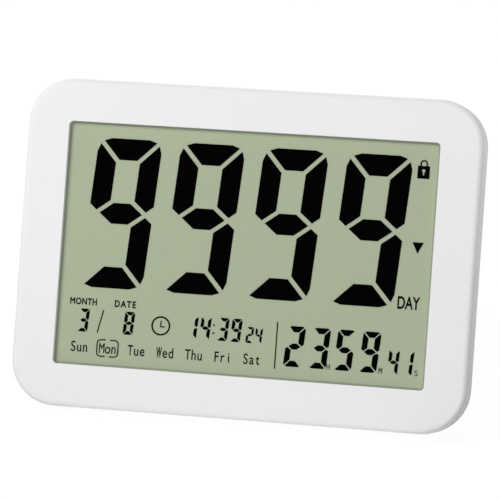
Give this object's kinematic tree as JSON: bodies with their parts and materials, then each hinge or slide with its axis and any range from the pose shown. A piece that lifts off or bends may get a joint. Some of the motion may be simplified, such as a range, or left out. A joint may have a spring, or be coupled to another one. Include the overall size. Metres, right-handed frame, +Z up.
{
  "type": "countdown timer",
  "caption": "Desk countdown timer: a white leaning case with a large grey-green segment display, rear buttons, a sliding battery cover, a fold-out stand and a keyhole for a wall screw.",
  "frame": {"origin": "on the table, midway between the two sides and midway between the front and back of the standing clock", "axes": "+X to the right seen from the front, +Z up, +Y to the back; the display faces -Y and leans back by 20 degrees"},
  "size_m": [0.162, 0.0588, 0.113],
  "materials": {
    "case_white": "matte",
    "button_grey": "satin",
    "foot_rubber": "matte",
    "display_film": "satin",
    "display_glass": "polished",
    "reflector_film": "satin",
    "inner_white": "matte",
    "contact_rubber": "matte",
    "segment_black": "satin",
    "board_green": "satin",
    "chip_resin": "gloss",
    "capacitor_sleeve": "gloss",
    "resistor_dark": "satin",
    "switch_dark": "satin",
    "buzzer_brass": "satin",
    "buzzer_white": "satin",
    "lead_red": "satin",
    "lead_black": "satin",
    "cell_shell": "satin",
    "contact_nickel": "satin",
    "steel": "satin"
  },
  "bodies": {
    "case": {"front_bezel": "case_white", "rear_cover": "case_white", "stand_pin": "steel", "case_feet": "foot_rubber", "lcd_front_polarizer": "display_film", "lcd_front_glass": "display_glass", "lcd_rear_glass": "display_glass", "lcd_reflector": "reflector_film", "lcd_holder": "inner_white", "zebra_strip": "contact_rubber", "day_segments": "segment_black", "date_segments": "segment_black", "clock_segments": "segment_black", "timer_segments": "segment_black", "lcd_icons": "segment_black", "main_board": "board_green", "chip_cover": "chip_resin", "crystal_can": "steel", "buffer_capacitor": "capacitor_sleeve", "chip_resistors": "resistor_dark", "switch_bodies": "switch_dark", "buzzer_disc": "buzzer_brass", "buzzer_ceramic": "buzzer_white", "buzzer_leads": "lead_red", "battery_lead_red": "lead_red", "battery_lead_black": "lead_black", "battery_upper": "cell_shell", "battery_lower": "cell_shell", "positive_contact": "contact_nickel", "negative_contact": "contact_nickel", "bridge_contact": "contact_nickel", "contact_springs": "contact_nickel", "case_screws": "steel", "board_screws": "steel"},
    "stand": {"stand_leg": "case_white", "stand_foot": "foot_rubber"},
    "battery_door": {"battery_cover": "case_white"},
    "mode_key": {"button_mode": "button_grey", "plunger_mode": "switch_dark"},
    "set_key": {"button_set": "button_grey", "plunger_set": "switch_dark"},
    "up_key": {"button_up": "button_grey", "plunger_up": "switch_dark"},
    "down_key": {"button_down": "button_grey", "plunger_down": "switch_dark"},
    "lock_key": {"button_lock": "button_grey", "plunger_lock": "switch_dark"}
  },
  "joints": [
    {"name": "stand_fold", "type": "hinge", "parent": "case", "child": "stand", "pos_m": [0, 0.00967, 0.06051], "axis": [-1, 0, 0], "range_deg": [0, 36.1]},
    {"name": "battery_cover_slide", "type": "slide", "parent": "case", "child": "battery_door", "axis": [1, 0, 0], "range_m": [0, 0.056]},
    {"name": "mode_press", "type": "slide", "parent": "case", "child": "mode_key", "axis": [0, -0.9397, 0.342], "range_m": [0, 0.0005], "stiffness_N_per_m": 1000},
    {"name": "set_press", "type": "slide", "parent": "case", "child": "set_key", "axis": [0, -0.9397, 0.342], "range_m": [0, 0.0005], "stiffness_N_per_m": 1000},
    {"name": "up_press", "type": "slide", "parent": "case", "child": "up_key", "axis": [0, -0.9397, 0.342], "range_m": [0, 0.0005], "stiffness_N_per_m": 1000},
    {"name": "down_press", "type": "slide", "parent": "case", "child": "down_key", "axis": [0, -0.9397, 0.342], "range_m": [0, 0.0005], "stiffness_N_per_m": 1000},
    {"name": "lock_press", "type": "slide", "parent": "case", "child": "lock_key", "axis": [0, -0.9397, 0.342], "range_m": [0, 0.0005], "stiffness_N_per_m": 1000}
  ]
}
